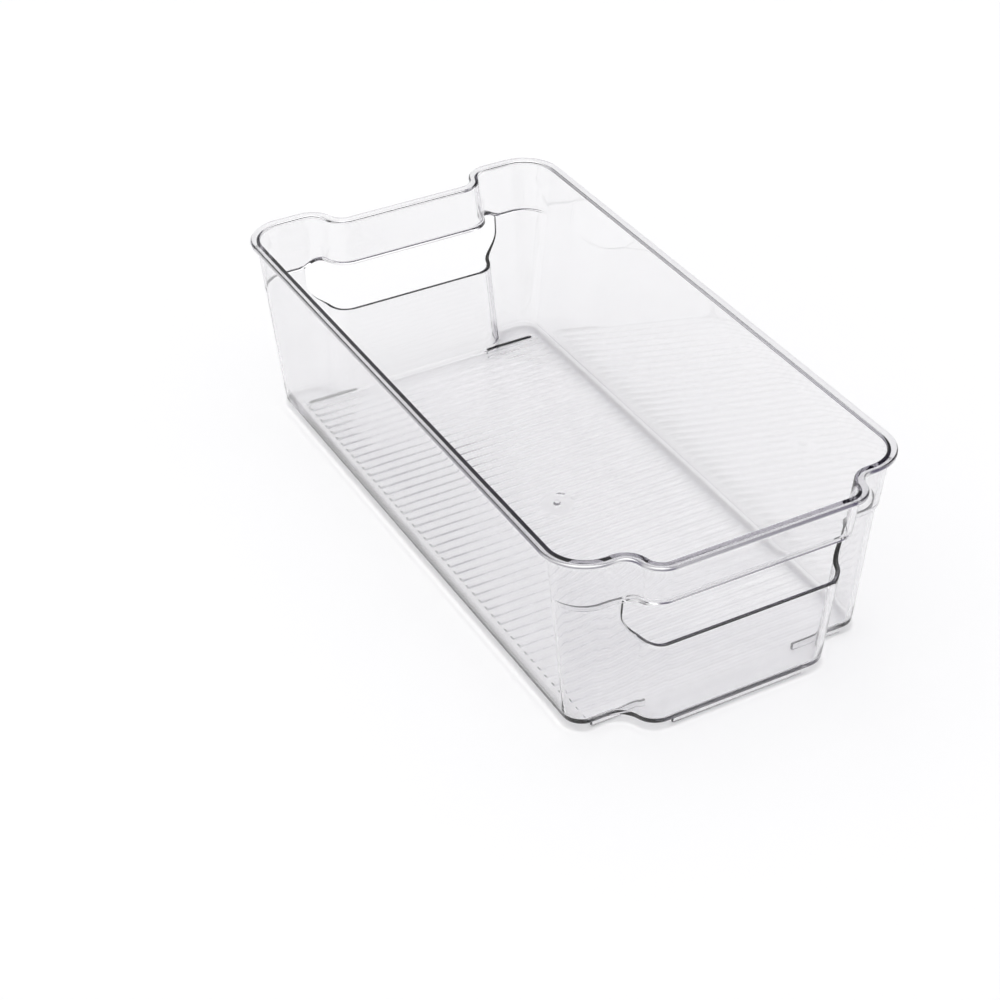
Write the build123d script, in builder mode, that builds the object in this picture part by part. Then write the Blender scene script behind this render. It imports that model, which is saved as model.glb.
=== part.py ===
"""Clear plastic fridge bin: a long open box with a hand-hole in each end.

Frame: +X towards the front end, +Y to the right-hand long wall, +Z up. The origin
is on the ground, under the middle of the overall box. The middle of each end
stands SHIFT further along +X than the corner stretches beside it, so the front
end bulges and the rear end is recessed.

The bin is one moulding, with no part that moves. Each node below is one region of
it, and meets its neighbours face to face.
"""

import os
from collections import namedtuple

from build123d import *

# Overall size, millimetres
LENGTH = 315.0
WIDTH = 160.0
HEIGHT = 90.0

# Plan
SHIFT = 14.0
CORNER_RADIUS = 17.0  # outside of the wall, at the rim

# Section of the wall and its lip
WALL = 1.8
LIP_REACH = 2.5
LIP_DEPTH = 2.0
LIP_ROUNDING = 0.8
LEAN = 8.5  # the wall's foot lies this far inside its top, all round

# Floor
FLOOR = 2.0
FLOOR_ROUNDING = 1.2
RIB_PITCH = 5.6
RIB_COUNT = 47
RIB_WIDTH = 2.6
RIB_HEIGHT = 0.4
RIB_LENGTH = 125.0
GATE_CLEARING = 7.0  # radius of the smooth disc round the gate mark
GATE_RADIUS = 1.5
GATE_HEIGHT = 1.0

# Foot rails under the floor
RAIL_HEIGHT = 3.0
RAIL_WIDTH = 1.6
CORNER_RAIL_LENGTH = 25.0
CORNER_RAIL_X = 130.3
CORNER_RAIL_Y = 47.5
FRONT_RAIL_LENGTH = 62.0
FRONT_RAIL_X = 144.3

# Ledge across each end: the wall below it stands further in
LEDGE_STEP = 2.2  # at the rim's height, from where the wall below would reach
LEDGE_DEPTH = 1.6
LEDGE_CORNER_Z = 64.5
LEDGE_MIDDLE_Z = 69.0
LEDGE_RISE_START = 54.0  # half widths between which the ledge rises
LEDGE_RISE_END = 42.0
LEDGE_ROUNDING = 12.0

# Hand-hole in each end, up to the ledge
HOLE_WIDTH = 102.0
HOLE_BOTTOM_Z = 46.0
HOLE_RADIUS = 12.0

# One level of the bin's plan: its wall's outside lies this far inside the overall
# box, and each end's S-curves run between two half widths (corner side, middle side)
Level = namedtuple("Level", "inset front_s rear_s")
TOP = Level(LIP_REACH, (57.5, 40.5), (48.5, 29.5))
FOOT = Level(LIP_REACH + LEAN, (54.0, 34.0), (53.0, 36.0))

FLOOR_TOP = RAIL_HEIGHT + FLOOR
LIP_BOTTOM = HEIGHT - LIP_DEPTH
CUT_MARGIN = 1.0  # the moulding is divided this far inside its straight stretches
CORNER_DEPTH = LIP_REACH + CORNER_RADIUS + CUT_MARGIN
SIDE_REAR = -LENGTH / 2 + CORNER_DEPTH
SIDE_FRONT = LENGTH / 2 - SHIFT - CORNER_DEPTH
END_SPLIT = TOP.front_s[0] + CUT_MARGIN
REACH = 2 * LENGTH  # larger than the bin, for cutting


def s_curve(start_y, middle_y, corner_x, grow):
    """Two arcs from the corner stretch to the middle one, moved by grow along X.

    Arcs moved that way keep their centres, so a wall between two of these curves
    has the same thickness all along.
    """
    across = start_y - middle_y
    radius = (SHIFT**2 + across**2) / (4 * SHIFT)
    first, last = radius - grow, radius + grow
    centre_1 = Vector(corner_x + radius, start_y)
    centre_2 = Vector(corner_x + SHIFT - radius, middle_y)
    meeting = centre_1 + (centre_2 - centre_1) * (first / (first + last))
    TangentArc((corner_x + grow, start_y), meeting, tangent=(0, -1))
    TangentArc((corner_x + SHIFT + grow, middle_y), meeting, tangent=(0, 1))


def outline(level, grow=0.0, step=0.0):
    """Plan of the wall's outside at a level, grown outwards, its ends stepped in."""
    rear = -LENGTH / 2 + level.inset + step
    front = LENGTH / 2 - SHIFT - level.inset - step
    side = WIDTH / 2 - level.inset + grow
    radius = CORNER_RADIUS - (level.inset - TOP.inset) + grow
    straight = side - radius
    with BuildSketch(Plane.XY) as plan:
        with BuildLine():
            Line((rear + SHIFT - grow, 0), (rear + SHIFT - grow, level.rear_s[1]))
            s_curve(*level.rear_s, rear, -grow)
            Line((rear - grow, level.rear_s[0]), (rear - grow, straight))
            RadiusArc((rear - grow, straight), (rear - grow + radius, side), radius)
            Line((rear - grow + radius, side), (front + grow - radius, side))
            RadiusArc((front + grow - radius, side), (front + grow, straight), radius)
            Line((front + grow, straight), (front + grow, level.front_s[0]))
            s_curve(*level.front_s, front, grow)
            Line((front + SHIFT + grow, level.front_s[1]), (front + SHIFT + grow, 0))
            mirror(about=Plane.XZ)
        make_face()
    return plan.sketch.face()


def tapered(grow=0.0, step=0.0):
    """Solid inside the leaning wall's outside, from the floor's underside to the rim.

    The ends are stepped in by this much at the rim, and not at all at the foot.
    """
    foot = Pos(0, 0, RAIL_HEIGHT) * outline(FOOT, grow)
    top = Pos(0, 0, HEIGHT) * outline(TOP, grow, step)
    with BuildPart() as body:
        loft([foot, top], ruled=True)
    return body.part


def below_ledge(raised):
    """Everything lower than the ledge's wavy line, which is raised by some amount."""
    low, high = LEDGE_CORNER_Z + raised, LEDGE_MIDDLE_Z + raised
    with BuildPart() as body:
        with BuildSketch(Plane.YZ):
            with BuildLine():
                wave = FilletPolyline(
                    (-WIDTH, low),
                    (-LEDGE_RISE_START, low),
                    (-LEDGE_RISE_END, high),
                    (LEDGE_RISE_END, high),
                    (LEDGE_RISE_START, low),
                    (WIDTH, low),
                    radius=LEDGE_ROUNDING,
                )
                Polyline(wave @ 1, (WIDTH, -HEIGHT), (-WIDTH, -HEIGHT), wave @ 0)
            make_face()
        extrude(amount=REACH, both=True)
    return body.part


def trim(plane, low, high):
    """Keep what the current part has between two planes parallel to this one."""
    split(bisect_by=plane.offset(low), keep=Keep.TOP)
    split(bisect_by=plane.offset(high), keep=Keep.BOTTOM)


def save(solid, name):
    """Name a piece and write it."""
    solid.label = name
    export_step(solid, f"parts/{name}.step")


os.makedirs("parts", exist_ok=True)

# Whole wall of the bin, above and below the ledge
upper_outside = tapered()
upper_inside = tapered(-WALL)
lower_outside = tapered(0, LEDGE_STEP)
lower_inside = tapered(-WALL, LEDGE_STEP)

with BuildPart() as lower_wall:
    add(lower_outside)
    add(lower_inside, mode=Mode.SUBTRACT)
    add(below_ledge(0), mode=Mode.INTERSECT)
    split(bisect_by=Plane.XY.offset(FLOOR_TOP), keep=Keep.TOP)

with BuildPart() as ledge:
    add(upper_outside)
    add(lower_inside, mode=Mode.SUBTRACT)
    add(below_ledge(LEDGE_DEPTH), mode=Mode.INTERSECT)
    add(below_ledge(0), mode=Mode.SUBTRACT)

with BuildPart() as upper_wall:
    add(upper_outside)
    add(upper_inside, mode=Mode.SUBTRACT)
    add(below_ledge(0), mode=Mode.SUBTRACT)
    add(ledge.part)
    split(bisect_by=Plane.XY.offset(LIP_BOTTOM), keep=Keep.BOTTOM)

with BuildPart() as holes:
    add(below_ledge(0))
    with BuildSketch(Plane.YZ) as hole:
        with Locations((0, HOLE_BOTTOM_Z + HEIGHT / 2)):
            Rectangle(HOLE_WIDTH, HEIGHT)
        fillet(hole.vertices().group_by(Axis.Y)[0], HOLE_RADIUS)
    extrude(amount=REACH, both=True, mode=Mode.INTERSECT)

# Long walls, straight between the corners
sides = (("left", (-WIDTH, -END_SPLIT)), ("right", (END_SPLIT, WIDTH)))
for name, y_range in sides:
    with BuildPart() as side_wall:
        add(upper_outside)
        add(upper_inside, mode=Mode.SUBTRACT)
        trim(Plane.XY, FLOOR_TOP, LIP_BOTTOM)
        trim(Plane.YZ, SIDE_REAR, SIDE_FRONT)
        trim(Plane.ZX, *y_range)
    save(side_wall.part, f"{name}_side_wall")

# Ends: a corner on each side, and between them a panel below the ledge, with the
# hand-hole in it, and a handle band above
for end, x_range in (("rear", (-LENGTH, SIDE_REAR)), ("front", (SIDE_FRONT, LENGTH))):
    for side, y_range in sides:
        with BuildPart() as corner:
            add(lower_wall.part)
            add(upper_wall.part)
            trim(Plane.YZ, *x_range)
            trim(Plane.ZX, *y_range)
        save(corner.part, f"{end}_{side}_corner")
    half = (-LENGTH, 0) if end == "rear" else (0, LENGTH)
    with BuildPart() as panel:
        add(lower_wall.part)
        add(holes.part, mode=Mode.SUBTRACT)
        trim(Plane.YZ, *half)
        trim(Plane.ZX, -END_SPLIT, END_SPLIT)
    save(panel.part, f"{end}_panel")
    with BuildPart() as band:
        add(upper_wall.part)
        trim(Plane.YZ, *half)
        trim(Plane.ZX, -END_SPLIT, END_SPLIT)
    save(band.part, f"{end}_handle_band")

# Lip round the rim
with BuildPart() as lip:
    with BuildSketch(Plane.XY.offset(LIP_BOTTOM)):
        add(outline(TOP, LIP_REACH))
    extrude(amount=LIP_DEPTH)
    fillet(lip.faces().sort_by(Axis.Z)[-1].edges(), LIP_ROUNDING)
    add(upper_inside, mode=Mode.SUBTRACT)
for name, x_range, y_range in (
    ("left", (SIDE_REAR, SIDE_FRONT), (-WIDTH, 0)),
    ("right", (SIDE_REAR, SIDE_FRONT), (0, WIDTH)),
    ("rear", (-LENGTH, SIDE_REAR), (-WIDTH, WIDTH)),
    ("front", (SIDE_FRONT, LENGTH), (-WIDTH, WIDTH)),
):
    with BuildPart() as lip_length:
        add(lip.part)
        trim(Plane.YZ, *x_range)
        trim(Plane.ZX, *y_range)
    save(lip_length.part, f"{name}_lip")

# Floor, with its lower edge rounded
with BuildPart() as floor_panel:
    add(lower_outside)
    split(bisect_by=Plane.XY.offset(FLOOR_TOP), keep=Keep.BOTTOM)
    fillet(floor_panel.faces().sort_by(Axis.Z)[0].edges(), FLOOR_ROUNDING)
save(floor_panel.part, "floor_panel")

# Ribs across the floor, clear of a smooth disc round the gate mark
with BuildPart() as floor_ribs:
    with BuildSketch(Plane.XY.offset(FLOOR_TOP)):
        with GridLocations(RIB_PITCH, 0, RIB_COUNT, 1):
            Rectangle(RIB_WIDTH, RIB_LENGTH)
        Circle(GATE_CLEARING, mode=Mode.SUBTRACT)
    extrude(amount=RIB_HEIGHT)
save(floor_ribs.part, "floor_ribs")

with BuildPart() as gate_mark:
    with BuildSketch(Plane.XY.offset(FLOOR_TOP)):
        Circle(GATE_RADIUS)
    extrude(amount=GATE_HEIGHT)
save(gate_mark.part, "gate_mark")


def rail(x, y, length):
    """Thin rail under the floor, along Y, with rounded ends."""
    with BuildPart() as strip:
        with BuildSketch(Plane.XY):
            with Locations((x, y)):
                SlotOverall(length, RAIL_WIDTH, rotation=90)
        extrude(amount=RAIL_HEIGHT)
    return strip.part


save(rail(FRONT_RAIL_X, 0, FRONT_RAIL_LENGTH), "front_foot_rail")
for end, x in (("rear", -CORNER_RAIL_X), ("front", CORNER_RAIL_X)):
    for side, y in (("left", -CORNER_RAIL_Y), ("right", CORNER_RAIL_Y)):
        save(rail(x, y, CORNER_RAIL_LENGTH), f"{end}_{side}_foot_rail")
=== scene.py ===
"""Looks of the clear plastic fridge bin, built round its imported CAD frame.

The bin is one clear moulding. The CAD frame divides it into regions that meet face to
face, and here one closed mesh stands for all of them, so that no seam shows inside
the plastic. Its wall is a stack of rings that run round the bin: up the outside, over
the lip and down the inside. Flat fills, the ribs and the foot rails make the floor.
"""

import math
from functools import lru_cache

import bmesh
import bpy
import numpy as np
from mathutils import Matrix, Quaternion, Vector


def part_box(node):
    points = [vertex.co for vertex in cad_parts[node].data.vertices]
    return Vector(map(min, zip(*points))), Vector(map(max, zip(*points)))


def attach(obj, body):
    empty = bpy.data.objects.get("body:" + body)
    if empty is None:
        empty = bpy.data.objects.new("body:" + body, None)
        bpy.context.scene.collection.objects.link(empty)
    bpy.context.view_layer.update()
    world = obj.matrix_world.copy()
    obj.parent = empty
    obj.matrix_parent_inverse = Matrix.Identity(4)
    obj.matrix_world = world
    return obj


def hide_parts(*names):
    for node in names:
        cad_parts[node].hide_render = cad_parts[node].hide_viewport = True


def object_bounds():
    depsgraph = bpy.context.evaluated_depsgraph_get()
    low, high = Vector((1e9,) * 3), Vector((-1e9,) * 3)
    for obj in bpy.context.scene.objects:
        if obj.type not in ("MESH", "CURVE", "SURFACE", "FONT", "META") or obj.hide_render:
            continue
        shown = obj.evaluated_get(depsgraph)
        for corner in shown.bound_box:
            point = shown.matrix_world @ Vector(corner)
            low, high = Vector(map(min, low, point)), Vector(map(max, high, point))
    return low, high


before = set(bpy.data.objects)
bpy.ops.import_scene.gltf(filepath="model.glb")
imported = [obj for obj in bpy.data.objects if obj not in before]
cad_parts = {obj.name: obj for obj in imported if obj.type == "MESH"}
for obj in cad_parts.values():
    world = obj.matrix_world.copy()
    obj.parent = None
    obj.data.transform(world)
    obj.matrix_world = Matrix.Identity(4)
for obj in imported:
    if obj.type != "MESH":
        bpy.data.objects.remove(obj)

CAD_LOW, CAD_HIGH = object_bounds()
MM = 0.001

# Sizes that the frame gives
LENGTH, WIDTH, HEIGHT = CAD_HIGH - CAD_LOW
FLOOR_LOW, FLOOR_TOP = (corner.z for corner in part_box("floor_panel"))
LIP_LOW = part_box("front_lip")[0].z
RIBS_LOW, RIBS_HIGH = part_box("floor_ribs")
GATE_RADIUS, _, GATE_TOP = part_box("gate_mark")[1]
RAILS = sorted(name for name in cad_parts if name.endswith("_rail"))

# Wall: its outside lies this far inside the overall box, at the foot and at the rim
INSETS = (11.0 * MM, 2.5 * MM)
CORNER_RADII = (8.5 * MM, 17.0 * MM)
WALL = 1.8 * MM
SHIFT = 14.0 * MM  # of each end's middle towards +X
# Half widths between which each end's S-curves run, at the foot and at the rim
REAR_S = ((53.0 * MM, 36.0 * MM), (48.5 * MM, 29.5 * MM))
FRONT_S = ((54.0 * MM, 34.0 * MM), (57.5 * MM, 40.5 * MM))

# Ledge across each end, and the hand-hole under it
LEDGE_STEP = 2.2 * MM  # at the rim's height, from where the wall below would reach
LEDGE_DEPTH = 1.6 * MM
LEDGE_CORNER_Z = 64.5 * MM
LEDGE_MIDDLE_Z = 69.0 * MM
LEDGE_RISE = (54.0 * MM, 42.0 * MM)
LEDGE_FADE = math.radians(35)  # last part of the corner's turn, where the ledge dies out
HOLE_EDGE = 0.5 * MM  # rounding of the hand-hole's edges, outside the opening
HOLE_HALF = 51.0 * MM + HOLE_EDGE
HOLE_LOW = 46.0 * MM - HOLE_EDGE
HOLE_RADIUS = 12.0 * MM + HOLE_EDGE
HOLE_CENTRE_Z = HOLE_LOW + HOLE_RADIUS
# Angle round the hole's lower corner where the mesh turns, so that the wall's two
# sides turn opposite each other: outside, then inside of the rear and front ends
HOLE_TURN_OUTSIDE = math.radians(45)
HOLE_TURN_INSIDE_REAR = math.radians(48)
HOLE_TURN_INSIDE_FRONT = math.radians(35)

# Roundings
FOOT_ROUNDING = 1.2 * MM
INSIDE_ROUNDING = 1.2 * MM
LEDGE_ROUNDING = 0.45 * MM
LEDGE_ROUNDING_LIMIT = 0.45  # of the step's width
LIP_ROUNDING = 0.8 * MM
LIP_UNDER_ROUNDING = 0.4 * MM
RIM_INNER_ROUNDING = 0.6 * MM
RAIL_ROUNDING = 0.4 * MM

# Ribs across the floor, and the smooth disc round the gate mark
RIB_PITCH = 5.6 * MM
RIB_WIDTH = 2.8 * MM
RIB_SLOPE = 1.9 * MM  # width of a rib's soft edge
RIB_END = 0.8 * MM  # width over which a rib's ends, and the disc's edge, slope down
GATE_CLEARING = 7.0 * MM
GATE_OPENING = 0.6 * GATE_CLEARING  # left open in the ribbed field, and filled after it
# The gate mark's outline, as shares of its radius and height
GATE_PROFILE = ((1.6, 0.0), (1.25, 0.06), (1.05, 0.3), (1.0, 0.8), (0.85, 1.0), (0.4, 0.85))

# How finely the mesh is divided
MIDDLE_COLUMNS = 84
JAMB_COLUMNS = 16
CORNER_COLUMNS = 20
SIDE_COLUMNS = 24
ARC_STEPS = 16
ROUND_STEPS = 4
UNDER_HOLE_RINGS = (0, 0.15, 0.3, 0.45, 0.6, 0.75, 0.88, 0.96, 1)  # shares of the height
HOLE_CORNER_RINGS = 6
BESIDE_HOLE_RINGS = 3
UPPER_WALL_RINGS = (0.3, 0.65, 1.0)
RIB_FLANK_LINES = (-0.5, -0.3, -0.12, 0.12, 0.3, 0.5)
RIB_END_LINES = (0, 0.2, 0.4, 0.6, 0.8, 1.0)
RIB_MIDDLE_LINES = (0.8, 0.6, 0.4, 0.2)
CLEARING_LINES = 14
RAIL_END_STEPS = 10
GATE_STEPS = 24
MERGE = 0.001 * MM
SHARP_ANGLE = math.radians(35)

QUARTER = math.pi / 2
END_COLUMNS = MIDDLE_COLUMNS + JAMB_COLUMNS
HALF = 2 * (END_COLUMNS + CORNER_COLUMNS) + SIDE_COLUMNS  # the half plan's last column
REAR_JAMB = MIDDLE_COLUMNS
FRONT_JAMB = HALF - MIDDLE_COLUMNS


def mix(a, b, t):
    return a + (b - a) * t


def smooth(t):
    """Smooth step from 0 to 1."""
    t = min(max(t, 0.0), 1.0)
    return t * t * (3 - 2 * t)


def quarter_turn(steps=ROUND_STEPS):
    """Pairs (1 - cos, 1 - sin) round a quarter circle, both ends included."""
    turns = [QUARTER * k / steps for k in range(steps + 1)]
    return [(1 - math.cos(a), 1 - math.sin(a)) for a in turns]


# Plan of the wall ---------------------------------------------------------------


def rise(z):
    """0 at the wall's foot and 1 at its rim."""
    return (z - FLOOR_LOW) / (HEIGHT - FLOOR_LOW)


def hole_turn(is_front, grow):
    """Angle round the hand-hole's lower corner at which the mesh turns."""
    if grow >= 0:
        return HOLE_TURN_OUTSIDE
    return HOLE_TURN_INSIDE_FRONT if is_front else HOLE_TURN_INSIDE_REAR


def jamb_y(z, turn):
    """Half width of the hand-hole's outline at z, no lower than the turn in its corner."""
    drop = min(max((HOLE_CENTRE_Z - z) / HOLE_RADIUS, 0.0), math.cos(turn))
    return HOLE_HALF - HOLE_RADIUS * (1 - math.sqrt(1 - drop * drop))


def hole_low(y, turn):
    """Height of the hand-hole's outline at y, no higher than the turn in its corner."""
    across = (abs(y) - HOLE_HALF + HOLE_RADIUS) / HOLE_RADIUS
    across = min(max(across, 0.0), math.sin(turn))
    return HOLE_CENTRE_Z - HOLE_RADIUS * math.sqrt(1 - across * across)


def ledge_height(y):
    """Height of the ledge's underside, which rises from the corners to the middle."""
    start, end = LEDGE_RISE
    return mix(LEDGE_CORNER_Z, LEDGE_MIDDLE_Z, smooth((start - abs(y)) / (start - end)))


def evenly(points, count):
    """count + 1 points along a line of points, evenly spaced."""
    steps = np.linalg.norm(np.diff(points, axis=0), axis=1)
    along = np.concatenate([[0.0], np.cumsum(steps)])
    stops = np.linspace(0, along[-1], count + 1)
    return np.column_stack([np.interp(stops, along, points[:, k]) for k in (0, 1)])


def end_line(corner_x, s_curve, grow, straight):
    """Plan of one end from its corner to the middle plane, moved by grow along X."""
    start, middle = s_curve
    radius = (SHIFT**2 + (start - middle) ** 2) / (4 * SHIFT)
    turns = np.linspace(0, math.asin((start - middle) / (2 * radius)), ARC_STEPS + 1)
    first = np.column_stack(
        [
            corner_x + radius - (radius - grow) * np.cos(turns),
            start - (radius - grow) * np.sin(turns),
        ]
    )
    last = np.column_stack(
        [
            corner_x + SHIFT - radius + (radius + grow) * np.cos(turns),
            middle + (radius + grow) * np.sin(turns),
        ]
    )
    corner = (corner_x + grow, straight)
    centre = (corner_x + SHIFT + grow, 0.0)
    return np.vstack([corner, first, last[-2::-1], centre])


def split_at(points, y):
    """The line's parts before and after this y, which falls all along it."""
    x = float(np.interp(-y, -points[:, 1], points[:, 0]))
    before = points[points[:, 1] > y]
    after = points[points[:, 1] < y]
    return np.vstack([before, (x, y)]), np.vstack([(x, y), after])


@lru_cache(maxsize=None)
def half_plan(z, grow):
    """Plan at height z of the wall's outside, grown outwards: one point per column.

    It is the y >= 0 half, from the middle of the rear end to that of the front end.
    """
    t = rise(z)
    inset, corner = mix(*INSETS, t), mix(*CORNER_RADII, t)
    rear = -LENGTH / 2 + inset
    front = LENGTH / 2 - SHIFT - inset
    side = WIDTH / 2 - inset + grow
    radius = corner + grow
    straight = side - radius
    ends = []
    for is_front, corner_x, s_pair in ((False, rear, REAR_S), (True, front, FRONT_S)):
        s_curve = [mix(low, high, t) for low, high in zip(*s_pair)]
        line = end_line(corner_x, s_curve, grow if is_front else -grow, straight)
        beside, middle = split_at(line, jamb_y(z, hole_turn(is_front, grow)))
        ends.append((evenly(beside, JAMB_COLUMNS), evenly(middle, MIDDLE_COLUMNS)))
    (rear_beside, rear_middle), (front_beside, front_middle) = ends
    turns = np.linspace(0, QUARTER, CORNER_COLUMNS + 1)
    rear_x, front_x = rear + corner, front - corner
    rear_arc = np.column_stack(
        [rear_x - radius * np.cos(turns), straight + radius * np.sin(turns)]
    )
    front_arc = np.column_stack(
        [front_x + radius * np.sin(turns), straight + radius * np.cos(turns)]
    )
    along = np.linspace((rear_x, side), (front_x, side), SIDE_COLUMNS + 1)
    stretches = [rear_middle[::-1], rear_beside[::-1], rear_arc, along, front_arc, front_beside]
    return np.vstack([stretch[:-1] for stretch in stretches] + [front_middle])


def step_share(j):
    """How much of the ledge's step a column takes, towards +X: none on the long sides."""
    if j > HALF / 2:
        return -step_share(HALF - j)
    turn = QUARTER * max(j - END_COLUMNS, 0) / CORNER_COLUMNS
    return smooth((QUARTER - turn) / LEDGE_FADE)


SHARES = [step_share(j) for j in range(HALF + 1)]


def step_width(j, z):
    """Width of the ledge's step at a column and height."""
    return abs(SHARES[j]) * LEDGE_STEP * rise(z)


def wall_point(j, z, grow=0.0, stepped=1.0):
    """A column's point on the wall. stepped is 1 below the ledge and 0 above it."""
    x, y = half_plan(round(z, 6), round(grow, 6))[j]
    return Vector((x + stepped * SHARES[j] * LEDGE_STEP * rise(z), y, z))


def lip_point(j, z, grow):
    """A column's point on the lip, whose sides stand upright."""
    x, y = half_plan(round(HEIGHT, 6), round(grow, 6))[j]
    return Vector((x, y, z))


@lru_cache(maxsize=None)
def height_at(j, grow, height_of, guess):
    """Height at a column of a line whose height depends on y."""
    z = guess
    for _ in range(4):
        z = round(height_of(wall_point(j, z, grow).y), 5)
    return z


def ledge_z(j, grow):
    return height_at(j, grow, ledge_height, LEDGE_MIDDLE_Z)


@lru_cache(maxsize=None)
def hole_line(turn):
    """The hand-hole's lower outline as a function of y, for height_at."""
    return lambda y: hole_low(y, turn)


def hole_z(j, grow):
    return height_at(j, grow, hole_line(hole_turn(j > HALF / 2, grow)), HOLE_LOW)


# Rings of the wall --------------------------------------------------------------


def add_ring(bm, place):
    """Points at place(j) for the columns of one half, and their mirror images."""
    half = [place(j) for j in range(HALF + 1)]
    other = [Vector((p.x, -p.y, p.z)) for p in half[-2:0:-1]]
    return [bm.verts.new(p) for p in half + other]


def half_column(i):
    """The half's column that a ring's point is, or mirrors."""
    return i if i <= HALF else 2 * HALF - i


def in_hole(i, k):
    """True where a hand-hole lies between two neighbouring points of a ring."""
    i, k = half_column(i), half_column(k)
    return max(i, k) <= REAR_JAMB or min(i, k) >= FRONT_JAMB


def band(bm, low, high, skip=lambda i, k: False):
    """Faces between two rings, apart from the stretches to skip."""
    for i in range(len(low)):
        k = (i + 1) % len(low)
        if not skip(i, k):
            bm.faces.new((low[i], low[k], high[k], high[i]))


def lower_wall(bm, foot, grow):
    """Rings up the wall below the ledge: those under the hand-hole, then beside it."""
    def under(share):
        return lambda j: wall_point(j, mix(foot, hole_z(j, grow), share), grow)

    def corner(share):
        def place(j):
            turn = mix(hole_turn(j > HALF / 2, grow), QUARTER, share)
            return wall_point(j, HOLE_CENTRE_Z - HOLE_RADIUS * math.cos(turn), grow)
        return place

    def above(share):
        return lambda j: wall_point(j, mix(HOLE_CENTRE_Z, ledge_z(j, grow), share), grow)

    low = [add_ring(bm, under(share)) for share in UNDER_HOLE_RINGS]
    high = [
        add_ring(bm, corner(k / HOLE_CORNER_RINGS)) for k in range(1, HOLE_CORNER_RINGS + 1)
    ]
    high += [
        add_ring(bm, above(k / BESIDE_HOLE_RINGS)) for k in range(1, BESIDE_HOLE_RINGS + 1)
    ]
    for a, b in zip(low, low[1:]):
        band(bm, a, b)
    for a, b in zip(low[-1:] + high, high):
        band(bm, a, b, skip=in_hole)
    return low, high


def ledge_place(j, z, grow, reach):
    """A point level with the ledge, this far in from the wall above it."""
    width = step_width(j, z)
    return wall_point(j, z, grow, reach / width if width > 0 else 0.0)


def ledge_radius(j, z):
    """Rounding of the ledge's edges at a column: less where the ledge dies out."""
    return min(LEDGE_ROUNDING, LEDGE_ROUNDING_LIMIT * step_width(j, z))


def outer_ledge(bm):
    """Rings along the ledge's underside and round its outer edge."""
    def edge(a, b):
        def place(j):
            z = ledge_z(j, 0.0)
            radius = ledge_radius(j, z)
            return ledge_place(j, z, 0.0, radius * b) + Vector((0, 0, radius * a))
        return place

    return [add_ring(bm, edge(a, b)) for a, b in quarter_turn()]


def inner_ledge(bm):
    """Rings down from the wall above, over the ledge's top and round its inner edge."""
    def hollow(a, b):
        def place(j):
            z = ledge_z(j, -WALL) + LEDGE_DEPTH
            radius = ledge_radius(j, z)
            return ledge_place(j, z, -WALL, radius * a) + Vector((0, 0, radius * b))
        return place

    def edge(a, b):
        def place(j):
            z = ledge_z(j, -WALL) + LEDGE_DEPTH
            radius = ledge_radius(j, z)
            reach = step_width(j, z) - radius * b
            return ledge_place(j, z, -WALL, reach) - Vector((0, 0, radius * a))
        return place

    rings = [add_ring(bm, hollow(a, b)) for a, b in quarter_turn()]
    return rings + [add_ring(bm, edge(a, b)) for a, b in quarter_turn()]


def lip(bm):
    """Rings from the lip's underside, round it and over the rim to the inside."""
    def ring(z, grow):
        return add_ring(bm, lambda j: lip_point(j, z, grow))

    reach = INSETS[1]
    rings = [
        ring(LIP_LOW + LIP_UNDER_ROUNDING * a, reach - LIP_UNDER_ROUNDING * b)
        for a, b in quarter_turn(2)
    ]
    rings += [
        ring(HEIGHT - LIP_ROUNDING * b, reach - LIP_ROUNDING * a) for a, b in quarter_turn()
    ]
    rings += [
        ring(HEIGHT - RIM_INNER_ROUNDING * a, RIM_INNER_ROUNDING * b - WALL)
        for a, b in quarter_turn()
    ]
    return rings


def upper_wall(bm, grow, start):
    """Rings up the wall from the ledge to the lip. start is how far above the ledge."""
    def place_at(share):
        def place(j):
            z = ledge_z(j, grow) + start
            return wall_point(j, mix(z + ledge_radius(j, z), LIP_LOW, share), grow, 0.0)
        return place

    return [add_ring(bm, place_at(share)) for share in UPPER_WALL_RINGS]


def hole_loop(low, high, jamb):
    """Mesh points round a hand-hole on one side of the wall, each as (point, is_top).

    They run down the y > 0 jamb, across, up the other jamb, and back along the top.
    """
    bottom, top = low[-1], high[-1]
    columns = list(range(jamb, -1, -1) if jamb == REAR_JAMB else range(jamb, HALF + 1))
    mirrored = [-j % len(bottom) for j in columns]
    loop = [(ring[columns[0]], False) for ring in reversed(high)]
    loop += [(bottom[i], False) for i in columns + mirrored[-2::-1]]
    loop += [(ring[mirrored[0]], False) for ring in high]
    loop += [(top[i], True) for i in mirrored[1:] + columns[-2:0:-1]]
    return loop


def swell_at(loop, k):
    """Direction in which the hand-hole's rounded edge swells at a point of its loop.

    It is towards the opening, or nothing along the ledge's flat underside.
    """
    point, is_top = loop[k]
    if is_top:
        return Vector()
    before, after = loop[k - 1], loop[(k + 1) % len(loop)]
    start = point if before[1] else before[0]
    end = point if after[1] else after[0]
    along = end.co - start.co
    return Vector((0, along.z, -along.y)).normalized()


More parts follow.
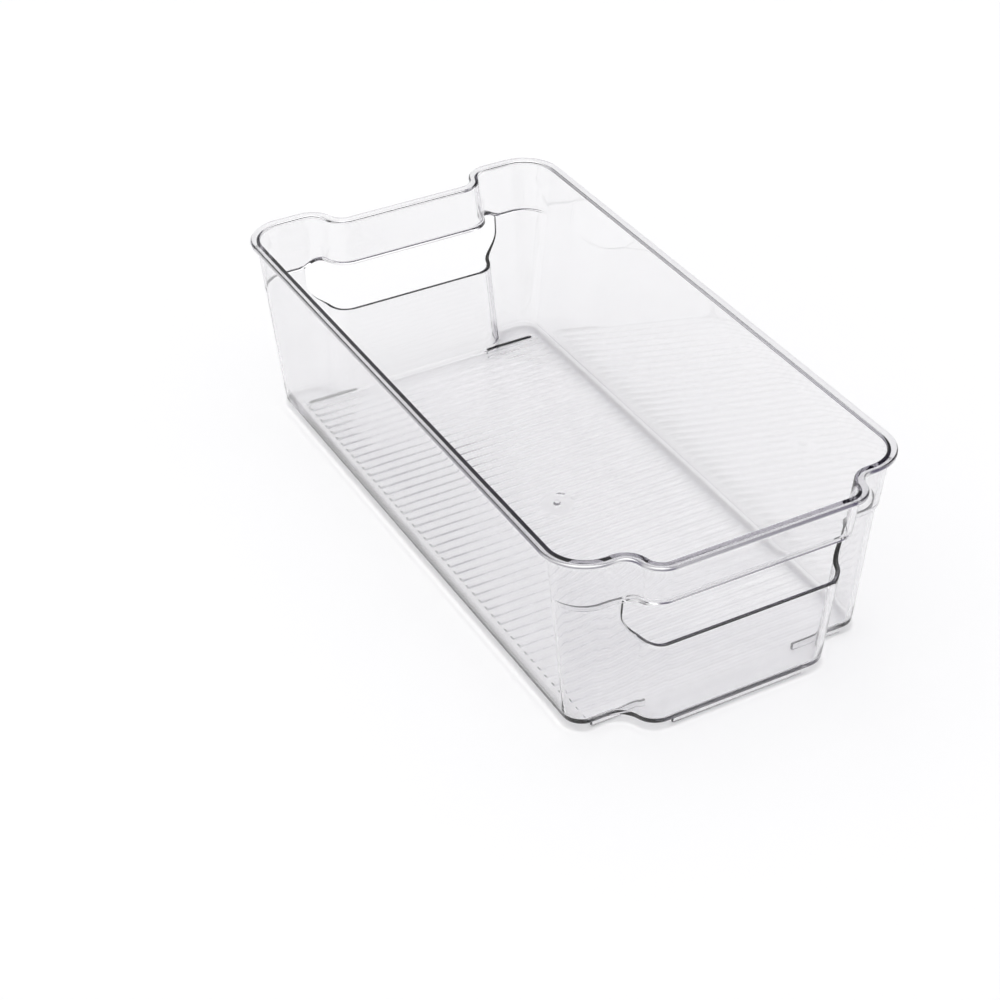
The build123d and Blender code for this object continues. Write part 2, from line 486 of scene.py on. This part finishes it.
def hole_edge(bm, outer, inner):
    """Rounded edge of a hand-hole, through the wall from one side's loop to the other's."""
    stages = [[] for _ in range(2 * ROUND_STEPS)]
    turns = [QUARTER * k / ROUND_STEPS for k in range(1, ROUND_STEPS + 1)]
    for k, (start, _) in enumerate(outer):
        through = inner[k][0].co - start.co
        swell = swell_at(outer, k) * HOLE_EDGE
        depths = [HOLE_EDGE * (1 - math.cos(a)) for a in turns]
        depths += [through.length - d for d in reversed(depths)]
        heights = [math.sin(a) for a in turns + turns[::-1]]
        for stage, depth, height in zip(stages, depths, heights):
            stage.append(
                bm.verts.new(start.co + through.normalized() * depth + swell * height)
            )
    stages = [[v for v, _ in outer], *stages, [v for v, _ in inner]]
    for a, b in zip(stages, stages[1:]):
        band(bm, a, b)


def rounded_foot(bm, z, grow, radius):
    """Rings round a quarter circle from the level z out to one side of the wall."""
    def turn(a, b):
        return lambda j: wall_point(j, z + radius * a, grow - radius * b)

    return [add_ring(bm, turn(a, b)) for a, b in quarter_turn()]


def wall(bm):
    """The whole wall. Returns its lowest rings, under the floor and on it."""
    foot = rounded_foot(bm, FLOOR_LOW, 0.0, FOOT_ROUNDING)
    inside = rounded_foot(bm, FLOOR_TOP, -WALL, INSIDE_ROUNDING)
    outer_low, outer_high = lower_wall(bm, FLOOR_LOW + FOOT_ROUNDING, 0.0)
    inner_low, inner_high = lower_wall(bm, FLOOR_TOP + INSIDE_ROUNDING, -WALL)
    stack = [outer_high[-1], *outer_ledge(bm), *upper_wall(bm, 0.0, 0.0), *lip(bm)]
    stack += [*reversed(upper_wall(bm, -WALL, LEDGE_DEPTH)), *inner_ledge(bm), inner_high[-1]]
    for rings in (foot[:-1] + outer_low[:1], inside[:-1] + inner_low[:1], stack):
        for a, b in zip(rings, rings[1:]):
            band(bm, a, b)
    for jamb in (REAR_JAMB, FRONT_JAMB):
        outer = hole_loop(outer_low, outer_high, jamb)
        hole_edge(bm, outer, hole_loop(inner_low, inner_high, jamb))
    return foot[0], inside[0]


# Floor --------------------------------------------------------------------------


def loop_edges(bm, points):
    """The edges of a closed loop of points, made where they don't exist yet."""
    pairs = zip(points, points[1:] + points[:1])
    return [bm.edges.get(pair) or bm.edges.new(pair) for pair in pairs]


def fill(bm, edges):
    bmesh.ops.triangle_fill(bm, use_beauty=True, use_dissolve=False, edges=edges)


def rail(bm, name):
    """A foot rail, down from the floor's underside. Returns its upper loop's edges."""
    low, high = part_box(name)
    centre, half = (low + high) / 2, (high - low) / 2
    straight = half.y - half.x
    turns = [math.pi * k / RAIL_END_STEPS for k in range(RAIL_END_STEPS + 1)]

    def loop(z, radius):
        right = [(radius * math.cos(a), straight + radius * math.sin(a)) for a in turns]
        ring = right + [(-x, -y) for x, y in right]
        return [bm.verts.new((centre.x + x, centre.y + y, z)) for x, y in ring]

    loops = [loop(high.z, half.x)]
    loops += [
        loop(low.z + RAIL_ROUNDING * b, half.x - RAIL_ROUNDING * a) for a, b in quarter_turn()
    ]
    for a, b in zip(loops, loops[1:]):
        band(bm, a, b)
    bm.faces.new(loops[-1])
    return loop_edges(bm, loops[0])


def rib_height(x, y):
    """Height of the ribbed field above the floor."""
    from_centre = abs((x + RIB_PITCH / 2) % RIB_PITCH - RIB_PITCH / 2)
    beside = smooth((RIB_WIDTH / 2 - from_centre) / RIB_SLOPE + 0.5)
    along = smooth((RIBS_HIGH.y - abs(y)) / RIB_END)
    clear = smooth((math.hypot(x, y) - GATE_CLEARING) / RIB_END)
    return (RIBS_HIGH.z - FLOOR_TOP) * beside * along * clear


def ribbed_field(bm):
    """The ribs as one sheet, open round the gate mark. Returns its rim's loops of edges."""
    count = round((RIBS_HIGH.x - RIBS_LOW.x) / RIB_PITCH)
    edge = [RIB_WIDTH / 2 + RIB_SLOPE * share for share in RIB_FLANK_LINES]
    offsets = [-e for e in reversed(edge)] + [0.0] + edge
    xs = [RIB_PITCH * (k - count / 2) + d for k in range(count + 1) for d in offsets]
    ends = [RIBS_HIGH.y - RIB_END * share for share in RIB_END_LINES]
    disc = [GATE_CLEARING * k / CLEARING_LINES for k in range(CLEARING_LINES + 3)]
    upper = sorted(set(ends + [RIBS_HIGH.y * share for share in RIB_MIDDLE_LINES] + disc))
    ys = [-y for y in reversed(upper[1:])] + upper
    grid = [
        [bm.verts.new((x, y, FLOOR_TOP + rib_height(x, y))) for y in ys] for x in xs
    ]
    for i in range(len(xs) - 1):
        for k in range(len(ys) - 1):
            corners = (grid[i][k], grid[i + 1][k], grid[i + 1][k + 1], grid[i][k + 1])
            if max(v.co.xy.length for v in corners) > GATE_OPENING:
                bm.faces.new(corners)
    around = [v.link_edges for row in grid for v in row]
    rim = {e for edges in around for e in edges if len(e.link_faces) == 1}
    inner = {e for e in rim if max(v.co.xy.length for v in e.verts) < GATE_CLEARING}
    return list(rim - inner), list(inner)


def gate_mark(bm):
    """The small blunt pip that the gate leaves. Returns its foot's edges."""
    height = GATE_TOP - FLOOR_TOP
    turns = [2 * math.pi * k / GATE_STEPS for k in range(GATE_STEPS)]

    def loop(radius, z):
        return [bm.verts.new((radius * math.cos(a), radius * math.sin(a), z)) for a in turns]

    loops = [loop(GATE_RADIUS * r, FLOOR_TOP + height * h) for r, h in GATE_PROFILE]
    for a, b in zip(loops, loops[1:]):
        band(bm, a, b)
    bm.faces.new(loops[-1])
    return loop_edges(bm, loops[0])


def bin_mesh():
    """The whole bin as one closed mesh."""
    bm = bmesh.new()
    underside, on_floor = wall(bm)
    field_rim, field_hole = ribbed_field(bm)
    rail_edges = [edge for name in RAILS for edge in rail(bm, name)]
    fill(bm, loop_edges(bm, underside) + rail_edges)
    fill(bm, loop_edges(bm, on_floor) + field_rim)
    fill(bm, field_hole + gate_mark(bm))
    bmesh.ops.remove_doubles(bm, verts=bm.verts, dist=MERGE)
    bmesh.ops.delete(bm, geom=[v for v in bm.verts if not v.link_faces], context="VERTS")
    bmesh.ops.recalc_face_normals(bm, faces=bm.faces)
    mesh = bpy.data.meshes.new("bin_moulding")
    bm.to_mesh(mesh)
    bm.free()
    mesh.shade_smooth()
    mesh.set_sharp_from_angle(angle=SHARP_ANGLE)
    return mesh


# Materials ----------------------------------------------------------------------

PLASTIC_IOR = 1.57
TINT_COLOUR = (0.51, 0.495, 0.545, 1.0)
TINT_DENSITY = 66.0
WAVE_SCALE = 18.0
WAVE_DETAIL = 1.0
WAVE_STRENGTH = 0.04
WAVE_HEIGHT = 1.0 * MM
RUB_SCALE = 60.0
RUB_DETAIL = 4.0
ROUGHEST = 0.03
FLOOR_COLOUR = (0.9, 0.9, 0.9, 1.0)
FLOOR_ROUGHNESS = 0.8


def new_material(name):
    """A material with an empty node tree, as (material, add node, link)."""
    material = bpy.data.materials.new(name)
    material.use_nodes = True
    tree = material.node_tree
    tree.nodes.clear()
    return material, tree.nodes.new, tree.links.new


def clear_plastic():
    """Clear plastic: glossy, with the faint waviness and rubbed haze of a moulding."""
    material, add, link = new_material("clear_plastic")
    shader = add("ShaderNodeBsdfPrincipled")
    shader.inputs["Base Color"].default_value = (1.0, 1.0, 1.0, 1.0)
    shader.inputs["Transmission Weight"].default_value = 1.0
    shader.inputs["IOR"].default_value = PLASTIC_IOR
    place = add("ShaderNodeTexCoord")
    waves = add("ShaderNodeTexNoise")
    waves.inputs["Scale"].default_value = WAVE_SCALE
    waves.inputs["Detail"].default_value = WAVE_DETAIL
    link(place.outputs["Object"], waves.inputs["Vector"])
    bump = add("ShaderNodeBump")
    bump.inputs["Strength"].default_value = WAVE_STRENGTH
    bump.inputs["Distance"].default_value = WAVE_HEIGHT
    link(waves.outputs["Fac"], bump.inputs["Height"])
    link(bump.outputs["Normal"], shader.inputs["Normal"])
    rub = add("ShaderNodeTexNoise")
    rub.inputs["Scale"].default_value = RUB_SCALE
    rub.inputs["Detail"].default_value = RUB_DETAIL
    link(place.outputs["Object"], rub.inputs["Vector"])
    haze = add("ShaderNodeMapRange")
    haze.inputs["To Min"].default_value = 0.0
    haze.inputs["To Max"].default_value = ROUGHEST
    link(rub.outputs["Fac"], haze.inputs["Value"])
    link(haze.outputs["Result"], shader.inputs["Roughness"])
    tint = add("ShaderNodeVolumeAbsorption")
    tint.inputs["Color"].default_value = TINT_COLOUR
    tint.inputs["Density"].default_value = TINT_DENSITY
    out = add("ShaderNodeOutputMaterial")
    link(shader.outputs["BSDF"], out.inputs["Surface"])
    link(tint.outputs["Volume"], out.inputs["Volume"])
    return material


def pale_floor():
    """Plain pale matt floor."""
    material, add, link = new_material("pale_floor")
    shader = add("ShaderNodeBsdfPrincipled")
    shader.inputs["Base Color"].default_value = FLOOR_COLOUR
    shader.inputs["Roughness"].default_value = FLOOR_ROUGHNESS
    shader.inputs["Specular IOR Level"].default_value = 0.0
    out = add("ShaderNodeOutputMaterial")
    link(shader.outputs["BSDF"], out.inputs["Surface"])
    return material


# Scene --------------------------------------------------------------------------

FLOOR_SIZE = 60.0
CAMERA_EYE = Vector((0.6926, -0.4035, 0.5845))
CAMERA_FORWARD = Vector((-0.7136, 0.3859, -0.5847))
CAMERA_ROLL = math.radians(-0.64)
CAMERA_LENS = 79.75
SKY_STRENGTH = 1.72
LIGHT_BOUNCES = 24  # enough for a view through several walls of the bin
GLOSSY_BOUNCES = 12
DIFFUSE_BOUNCES = 8
WHITE = (1.0, 1.0, 1.0)
HORIZON = (0.56, 0.56, 0.56)
PALE = (0.42, 0.42, 0.42)
DARK = (0.045, 0.035, 0.075)
# Each is (how high the direction points, colour): the light side, then the dark side
SKY_STOPS = (
    ((0.0, HORIZON), (0.2, HORIZON), (0.34, PALE), (0.65, PALE), (0.8, WHITE)),
    ((0.0, HORIZON), (0.2, HORIZON), (0.34, DARK), (0.65, DARK), (0.8, WHITE)),
)
DARK_SIDE = (0.37, 0.53)  # share of the direction along +Y over which the dark band fades in


def add_object(name, data):
    made = bpy.data.objects.new(name, data)
    bpy.context.scene.collection.objects.link(made)
    return made


def add_bin():
    mesh = bin_mesh()
    mesh.materials.append(clear_plastic())
    moulding = add_object("bin_moulding", mesh)
    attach(moulding, "root")
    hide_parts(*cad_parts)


def add_floor():
    half = FLOOR_SIZE / 2
    mesh = bpy.data.meshes.new("floor")
    corners = [(-half, -half, 0), (half, -half, 0), (half, half, 0), (-half, half, 0)]
    mesh.from_pydata(corners, [], [(0, 1, 2, 3)])
    mesh.materials.append(pale_floor())
    add_object("floor", mesh)


def add_camera():
    camera = add_object("camera", bpy.data.cameras.new("camera"))
    camera.data.lens = CAMERA_LENS
    camera.data.clip_start = 0.05
    camera.location = CAMERA_EYE
    camera.rotation_mode = "QUATERNION"
    camera.rotation_quaternion = CAMERA_FORWARD.to_track_quat("-Z", "Y") @ Quaternion(
        (0, 0, 1), CAMERA_ROLL
    )
    bpy.context.scene.camera = camera


def height_ramp(tree, height, stops):
    """Light that depends on how high a direction points, from stops (height, colour)."""
    ramp = tree.nodes.new("ShaderNodeValToRGB")
    elements = ramp.color_ramp.elements
    while len(elements) < len(stops):
        elements.new(1.0)
    for element, (position, colour) in zip(elements, stops):
        element.position = position
        element.color = (*colour, 1.0)
    tree.links.new(height, ramp.inputs["Fac"])
    return ramp.outputs["Color"]


def add_world():
    """A bright ceiling and a pale horizon, with a dark band between them towards +Y."""
    world = bpy.data.worlds.new("studio")
    world.use_nodes = True
    tree = world.node_tree
    place = tree.nodes.new("ShaderNodeTexCoord")
    split = tree.nodes.new("ShaderNodeSeparateXYZ")
    tree.links.new(place.outputs["Generated"], split.inputs["Vector"])
    side = tree.nodes.new("ShaderNodeMapRange")
    side.inputs["From Min"].default_value = DARK_SIDE[0]
    side.inputs["From Max"].default_value = DARK_SIDE[1]
    tree.links.new(split.outputs["Y"], side.inputs["Value"])
    blend = tree.nodes.new("ShaderNodeMix")
    blend.data_type = "RGBA"
    tree.links.new(side.outputs["Result"], blend.inputs["Factor"])
    light, dark = (height_ramp(tree, split.outputs["Z"], stops) for stops in SKY_STOPS)
    tree.links.new(light, blend.inputs["A"])
    tree.links.new(dark, blend.inputs["B"])
    background = tree.nodes["Background"]
    background.inputs["Strength"].default_value = SKY_STRENGTH
    tree.links.new(blend.outputs["Result"], background.inputs["Color"])
    bpy.context.scene.world = world


add_bin()
add_floor()
add_camera()
add_world()

scene = bpy.context.scene
scene.view_settings.view_transform = "Standard"
scene.cycles.max_bounces = LIGHT_BOUNCES
scene.cycles.transmission_bounces = LIGHT_BOUNCES
scene.cycles.glossy_bounces = GLOSSY_BOUNCES
scene.cycles.diffuse_bounces = DIFFUSE_BOUNCES
# Blurred glossy paths lose the light that reaches the floor through the plastic
scene.cycles.blur_glossy = 0.0
